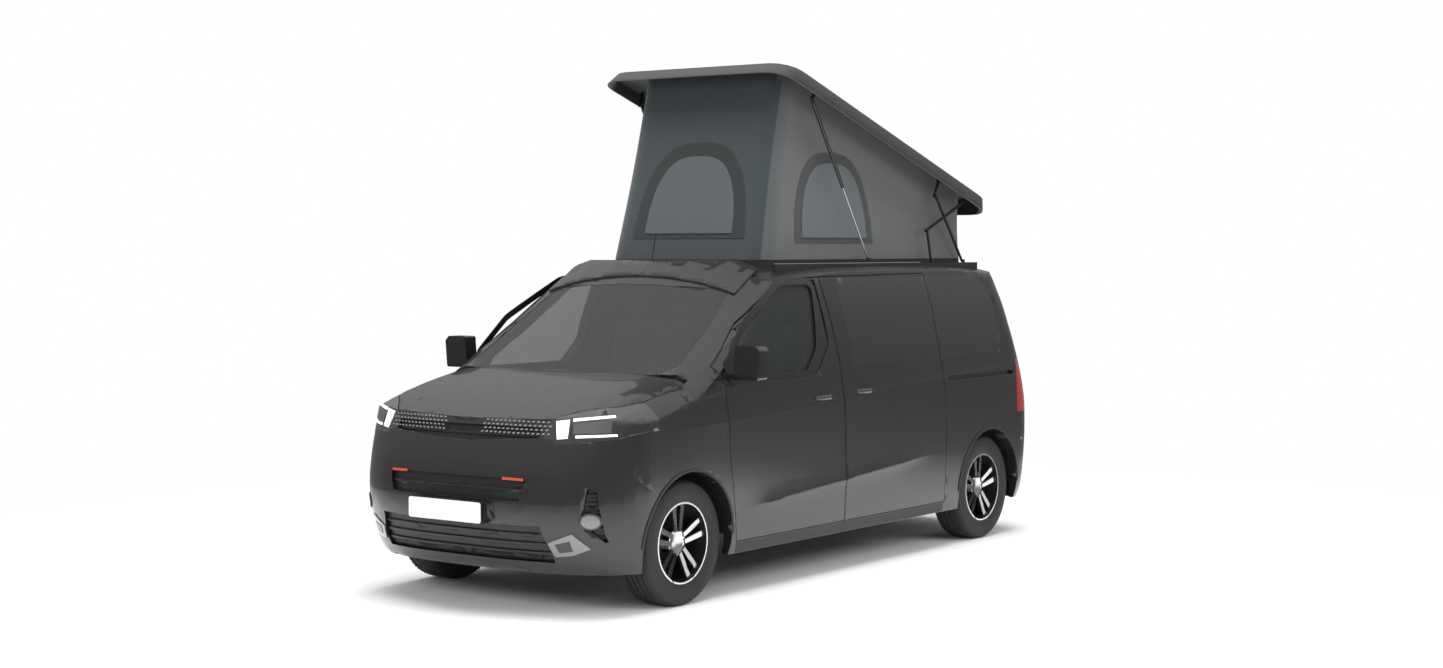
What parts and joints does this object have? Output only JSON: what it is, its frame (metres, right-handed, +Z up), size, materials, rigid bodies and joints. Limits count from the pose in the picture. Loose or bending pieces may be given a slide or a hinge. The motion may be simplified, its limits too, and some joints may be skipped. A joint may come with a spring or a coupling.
{
  "type": "camper van with pop-up roof",
  "caption": "Passenger camper van with a raised pop-up roof on folding bars, canvas walls, hinged front doors, hood and tailgate, and steered front wheels.",
  "frame": {"origin": "centre of the ground rectangle under the whole van", "axes": "+X to the van's left, -Y to its front, +Z up"},
  "size_m": [2.3288, 4.948, 3.0163],
  "materials": {
    "body_paint": "dark grey metallic paint with clear coat",
    "lower_paint": "dark grey metallic paint with clear coat on plastic",
    "trim_black": "grained black plastic",
    "gloss_black": "polished black plastic",
    "clear_glass": "lightly tinted laminated glass",
    "privacy_glass": "dark tinted glass",
    "lamp_clear": "clear lamp cover over bright reflectors",
    "lamp_red": "red lamp cover",
    "tyre_rubber": "tread and lettering-free side wall",
    "rim_alloy": "machined spokes over dark pockets",
    "chassis_steel": "coated steel",
    "engine_iron": "cast metal",
    "lift_metal": "black anodised bars",
    "canvas": "coated woven canvas",
    "seat_cloth": "woven seat cloth",
    "inner_plastic": "soft grained plastic",
    "floor_cover": "wood-look floor covering"
  },
  "bodies": {
    "root": {"body_shell": "body_paint", "sill_trims": "trim_black", "sliding_doors": "body_paint", "side_glass": "privacy_glass", "windscreen": "clear_glass", "cowl": "trim_black", "headlamps": "lamp_clear", "front_fenders": "body_paint", "front_bumper": "lower_paint", "grilles": "gloss_black", "tail_lamps": "lamp_red", "rear_bumper": "lower_paint", "roof_fairing": "body_paint", "roof_rails": "trim_black", "canvas_walls": "canvas", "suspension": "chassis_steel", "wheel_liners": "trim_black", "floor_pan": "floor_cover", "underframe": "chassis_steel", "engine_block": "engine_iron", "dashboard": "inner_plastic", "seats": "seat_cloth", "rear_shelf": "inner_plastic"},
    "hood": {"hood": "body_paint"},
    "door_left": {"door_left": "body_paint", "door_glass_left": "clear_glass", "mirror_left": "gloss_black"},
    "door_right": {"door_right": "body_paint", "door_glass_right": "clear_glass", "mirror_right": "gloss_black"},
    "tailgate": {"tailgate": "body_paint", "tailgate_glass": "privacy_glass"},
    "steering_wheel": {"steering_wheel": "inner_plastic"},
    "knuckle_left": {"knuckle_left": "engine_iron"},
    "knuckle_right": {"knuckle_right": "engine_iron"},
    "lift_long": {"lift_long_bars": "lift_metal"},
    "lift_cross": {"lift_cross_bars": "lift_metal"},
    "roof_lid": {"lid": "body_paint", "lid_brackets": "lift_metal"},
    "lift_short": {"lift_short_links": "lift_metal"},
    "lift_upper": {"lift_upper_links": "lift_metal"},
    "strut_barrel": {"strut_barrels": "trim_black"},
    "strut_rod": {"strut_rods": "lift_metal"},
    "wheel_front_left": {"tyre_front_left": "tyre_rubber", "rim_front_left": "rim_alloy"},
    "wheel_front_right": {"tyre_front_right": "tyre_rubber", "rim_front_right": "rim_alloy"},
    "wheel_rear_left": {"tyre_rear_left": "tyre_rubber", "rim_rear_left": "rim_alloy"},
    "wheel_rear_right": {"tyre_rear_right": "tyre_rubber", "rim_rear_right": "rim_alloy"}
  },
  "joints": [
    {"name": "hood_hinge", "type": "hinge", "parent": "root", "child": "hood", "pos_m": [0, -1.5, 1.23], "axis": [-1, 0, 0], "range_deg": [0, 48]},
    {"name": "door_left_hinge", "type": "hinge", "parent": "root", "child": "door_left", "pos_m": [0.955, -1.33, 0.75], "axis": [0, 0, -1], "range_deg": [0, 68]},
    {"name": "door_right_hinge", "type": "hinge", "parent": "root", "child": "door_right", "pos_m": [-0.955, -1.33, 0.75], "axis": [0, 0, 1], "range_deg": [0, 68]},
    {"name": "tailgate_hinge", "type": "hinge", "parent": "root", "child": "tailgate", "pos_m": [0, 2.1225, 1.8], "axis": [1, 0, 0], "range_deg": [0, 85]},
    {"name": "steer_left", "type": "hinge", "parent": "root", "child": "knuckle_left", "pos_m": [0.69, -1.59, 0.34], "axis": [0, 0, 1], "range_deg": [-35, 35]},
    {"name": "steer_right", "type": "hinge", "parent": "root", "child": "knuckle_right", "pos_m": [-0.69, -1.59, 0.34], "axis": [0, 0, 1], "range_deg": [-35, 35]},
    {"name": "steering_wheel_turn", "type": "hinge", "parent": "root", "child": "steering_wheel", "pos_m": [0.365, -0.96, 1.06], "axis": [0, 0.848, 0.5299], "range_deg": [-525, 525]},
    {"name": "wheel_front_left_spin", "type": "hinge", "parent": "knuckle_left", "child": "wheel_front_left", "pos_m": [0.805, -1.59, 0.34], "axis": [1, 0, 0], "continuous": true},
    {"name": "wheel_front_right_spin", "type": "hinge", "parent": "knuckle_right", "child": "wheel_front_right", "pos_m": [-0.805, -1.59, 0.34], "axis": [1, 0, 0], "continuous": true},
    {"name": "wheel_rear_left_spin", "type": "hinge", "parent": "root", "child": "wheel_rear_left", "pos_m": [0.803, 1.685, 0.34], "axis": [1, 0, 0], "continuous": true},
    {"name": "wheel_rear_right_spin", "type": "hinge", "parent": "root", "child": "wheel_rear_right", "pos_m": [-0.803, 1.685, 0.34], "axis": [1, 0, 0], "continuous": true},
    {"name": "roof_lift", "type": "hinge", "parent": "root", "child": "lift_long", "pos_m": [0, 1.85, 1.836], "axis": [1, 0, 0], "range_deg": [0, 47.82], "deforming": ["canvas_walls"]},
    {"name": "lift_cross_pivot", "type": "hinge", "parent": "lift_long", "child": "lift_cross", "pos_m": [0, 1.6073, 2.1338], "axis": [1, 0, 0], "range_deg": [-66.6, 0]},
    {"name": "lid_pivot", "type": "hinge", "parent": "lift_cross", "child": "roof_lid", "pos_m": [0, 1.886, 2.244], "axis": [1, 0, 0], "range_deg": [0, 36.8]},
    {"name": "lift_short_pivot", "type": "hinge", "parent": "root", "child": "lift_short", "pos_m": [0, 1.402, 1.826], "axis": [1, 0, 0], "range_deg": [0, 72]},
    {"name": "lift_upper_pivot", "type": "hinge", "parent": "roof_lid", "child": "lift_upper", "pos_m": [0, 1.5648, 2.3704], "axis": [1, 0, 0], "range_deg": [-65, 0]},
    {"name": "strut_pivot", "type": "hinge", "parent": "roof_lid", "child": "strut_barrel", "pos_m": [0, 0.009, 2.828], "axis": [1, 0, 0], "range_deg": [0, 39]},
    {"name": "strut_slide", "type": "slide", "parent": "strut_barrel", "child": "strut_rod", "axis": [0, -0.5513, 0.8343], "range_m": [0, 0.318]}
  ],
  "couplings": [
    {"joint": "steer_right", "follows": "steer_left", "ratio": 1},
    {"joint": "steering_wheel_turn", "follows": "steer_left", "ratio": 15},
    {"joint": "lift_cross_pivot", "follows": "roof_lift", "ratio": -1.3877},
    {"joint": "lid_pivot", "follows": "roof_lift", "ratio": 0.7641},
    {"joint": "lift_short_pivot", "follows": "roof_lift", "ratio": 1.499},
    {"joint": "lift_upper_pivot", "follows": "roof_lift", "ratio": -1.3516},
    {"joint": "strut_pivot", "follows": "roof_lift", "ratio": 0.81244},
    {"joint": "strut_slide", "follows": "roof_lift", "m_per_rad": 0.37849}
  ]
}
